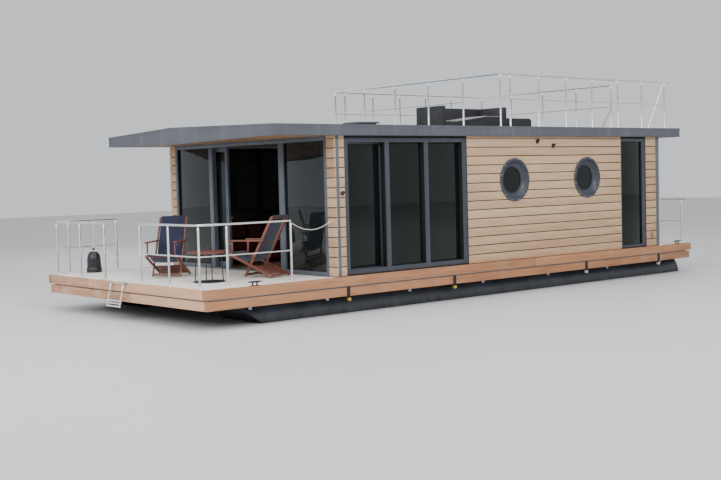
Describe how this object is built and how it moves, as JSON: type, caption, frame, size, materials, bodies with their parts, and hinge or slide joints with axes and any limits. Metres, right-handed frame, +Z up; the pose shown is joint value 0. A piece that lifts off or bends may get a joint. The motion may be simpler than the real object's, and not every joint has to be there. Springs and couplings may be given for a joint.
{
  "type": "houseboat",
  "caption": "Timber-clad houseboat on two round floats with glazed saloon, portholes, railed bow terrace, railed roof deck and outboard motor.",
  "frame": {"origin": "on the floor under the middle of the boat, at the lowest lines of the floats; the lean of the bow ladder is not counted and would move the middle by 0.04 m", "axes": "+X to the bow, +Y to port, +Z up"},
  "size_m": [13.2312, 5.04, 4.52],
  "materials": {
    "float_plastic": "black polyethylene pipe",
    "galvanised": "galvanised steel",
    "edge_timber": "oiled reddish timber",
    "deck_composite": "pale grooved composite boards",
    "floor_wood": "satin plank floor",
    "cladding": "pale tan horizontal boards",
    "dark_frame": "anthracite powder coat",
    "pane": "tinted glass",
    "roof_sheet": "slate grey folded sheet",
    "soffit_wood": "oiled boards",
    "rattan": "woven dark rattan",
    "stainless": "polished stainless tube",
    "teak": "oiled teak",
    "motor_paint": "black cowl",
    "black_metal": "black satin",
    "white_panel": "matt interior board",
    "sofa_leather": "dark red leather",
    "rope": "pale twisted rope",
    "fender_rubber": "black fender"
  },
  "bodies": {
    "boat": {"float_port": "float_plastic", "float_starboard": "float_plastic", "underframe": "galvanised", "motor_bracket": "galvanised", "fascia_upper": "edge_timber", "fascia_lower": "edge_timber", "fore_deck": "deck_composite", "aft_deck": "deck_composite", "cabin_floor": "floor_wood", "wall_port": "cladding", "wall_starboard": "cladding", "wall_stern": "cladding", "porthole_port_1": "dark_frame", "porthole_port_2": "dark_frame", "porthole_starboard_1": "dark_frame", "porthole_starboard_2": "dark_frame", "saloon_frame_port": "dark_frame", "saloon_frame_starboard": "dark_frame", "aft_window_port": "dark_frame", "aft_window_starboard": "dark_frame", "front_frame": "dark_frame", "saloon_glass_port": "pane", "saloon_glass_starboard": "pane", "front_glass_port": "pane", "front_glass_starboard": "pane", "roof_slab": "roof_sheet", "roof_fascia": "roof_sheet", "roof_soffit": "soffit_wood", "roof_hatch": "black_metal", "roof_lounge": "rattan", "terrace_rail_port": "stainless", "terrace_rail_starboard": "stainless", "stern_rail_port": "stainless", "stern_rail_starboard": "stainless", "roof_rail_port": "stainless", "roof_rail_front": "stainless", "roof_rail_starboard": "stainless", "roof_rail_stern": "stainless", "roof_ladder": "stainless", "cabin_bulkhead": "white_panel", "helm_desk": "white_panel", "sofa": "sofa_leather", "chair_middle": "teak", "chair_port": "teak", "terrace_table": "teak", "fender": "fender_rubber", "gate_rope_front": "rope", "gate_rope_side": "rope", "gate_rope_stern": "rope", "fender_line": "rope"},
    "front_leaf_port": {"front_leaf_port": "dark_frame"},
    "front_leaf_starboard": {"front_leaf_starboard": "dark_frame"},
    "saloon_leaf": {"saloon_leaf": "dark_frame"},
    "stern_door": {"stern_door": "dark_frame"},
    "bow_ladder": {"bow_ladder": "stainless"},
    "motor_tilt": {"motor_clamp": "motor_paint"},
    "motor_steer": {"motor_body": "motor_paint"},
    "propeller": {"propeller": "black_metal"},
    "helm_wheel": {"helm_wheel": "black_metal"}
  },
  "joints": [
    {"name": "front_leaf_port_slide", "type": "slide", "parent": "boat", "child": "front_leaf_port", "axis": [0, 1, 0], "range_m": [-0.825, 0.175]},
    {"name": "front_leaf_starboard_slide", "type": "slide", "parent": "boat", "child": "front_leaf_starboard", "axis": [0, 1, 0], "range_m": [-0.325, 0.675]},
    {"name": "saloon_leaf_slide", "type": "slide", "parent": "boat", "child": "saloon_leaf", "axis": [1, 0, 0], "range_m": [-0.85, 0]},
    {"name": "stern_door_hinge", "type": "hinge", "parent": "boat", "child": "stern_door", "pos_m": [-4.6505, 0.423, 1.18], "axis": [0, 0, 1], "range_deg": [-105, 0]},
    {"name": "bow_ladder_hinge", "type": "hinge", "parent": "boat", "child": "bow_ladder", "pos_m": [6.5495, 0, 1.127], "axis": [0, 1, 0], "range_deg": [-170, 0]},
    {"name": "motor_tilt", "type": "hinge", "parent": "boat", "child": "motor_tilt", "pos_m": [-6.1105, 0, 1], "axis": [0, 1, 0], "range_deg": [0, 60]},
    {"name": "motor_steer", "type": "hinge", "parent": "motor_tilt", "child": "motor_steer", "pos_m": [-6.1805, 0, 1], "axis": [0, 0, 1], "range_deg": [-35, 35]},
    {"name": "propeller_spin", "type": "hinge", "parent": "motor_steer", "child": "propeller", "pos_m": [-6.398, 0, 0.3], "axis": [1, 0, 0], "continuous": true},
    {"name": "helm_wheel_turn", "type": "hinge", "parent": "boat", "child": "helm_wheel", "pos_m": [3.3195, -1.65, 2], "axis": [1, 0, 0], "range_deg": [-540, 540]}
  ]
}
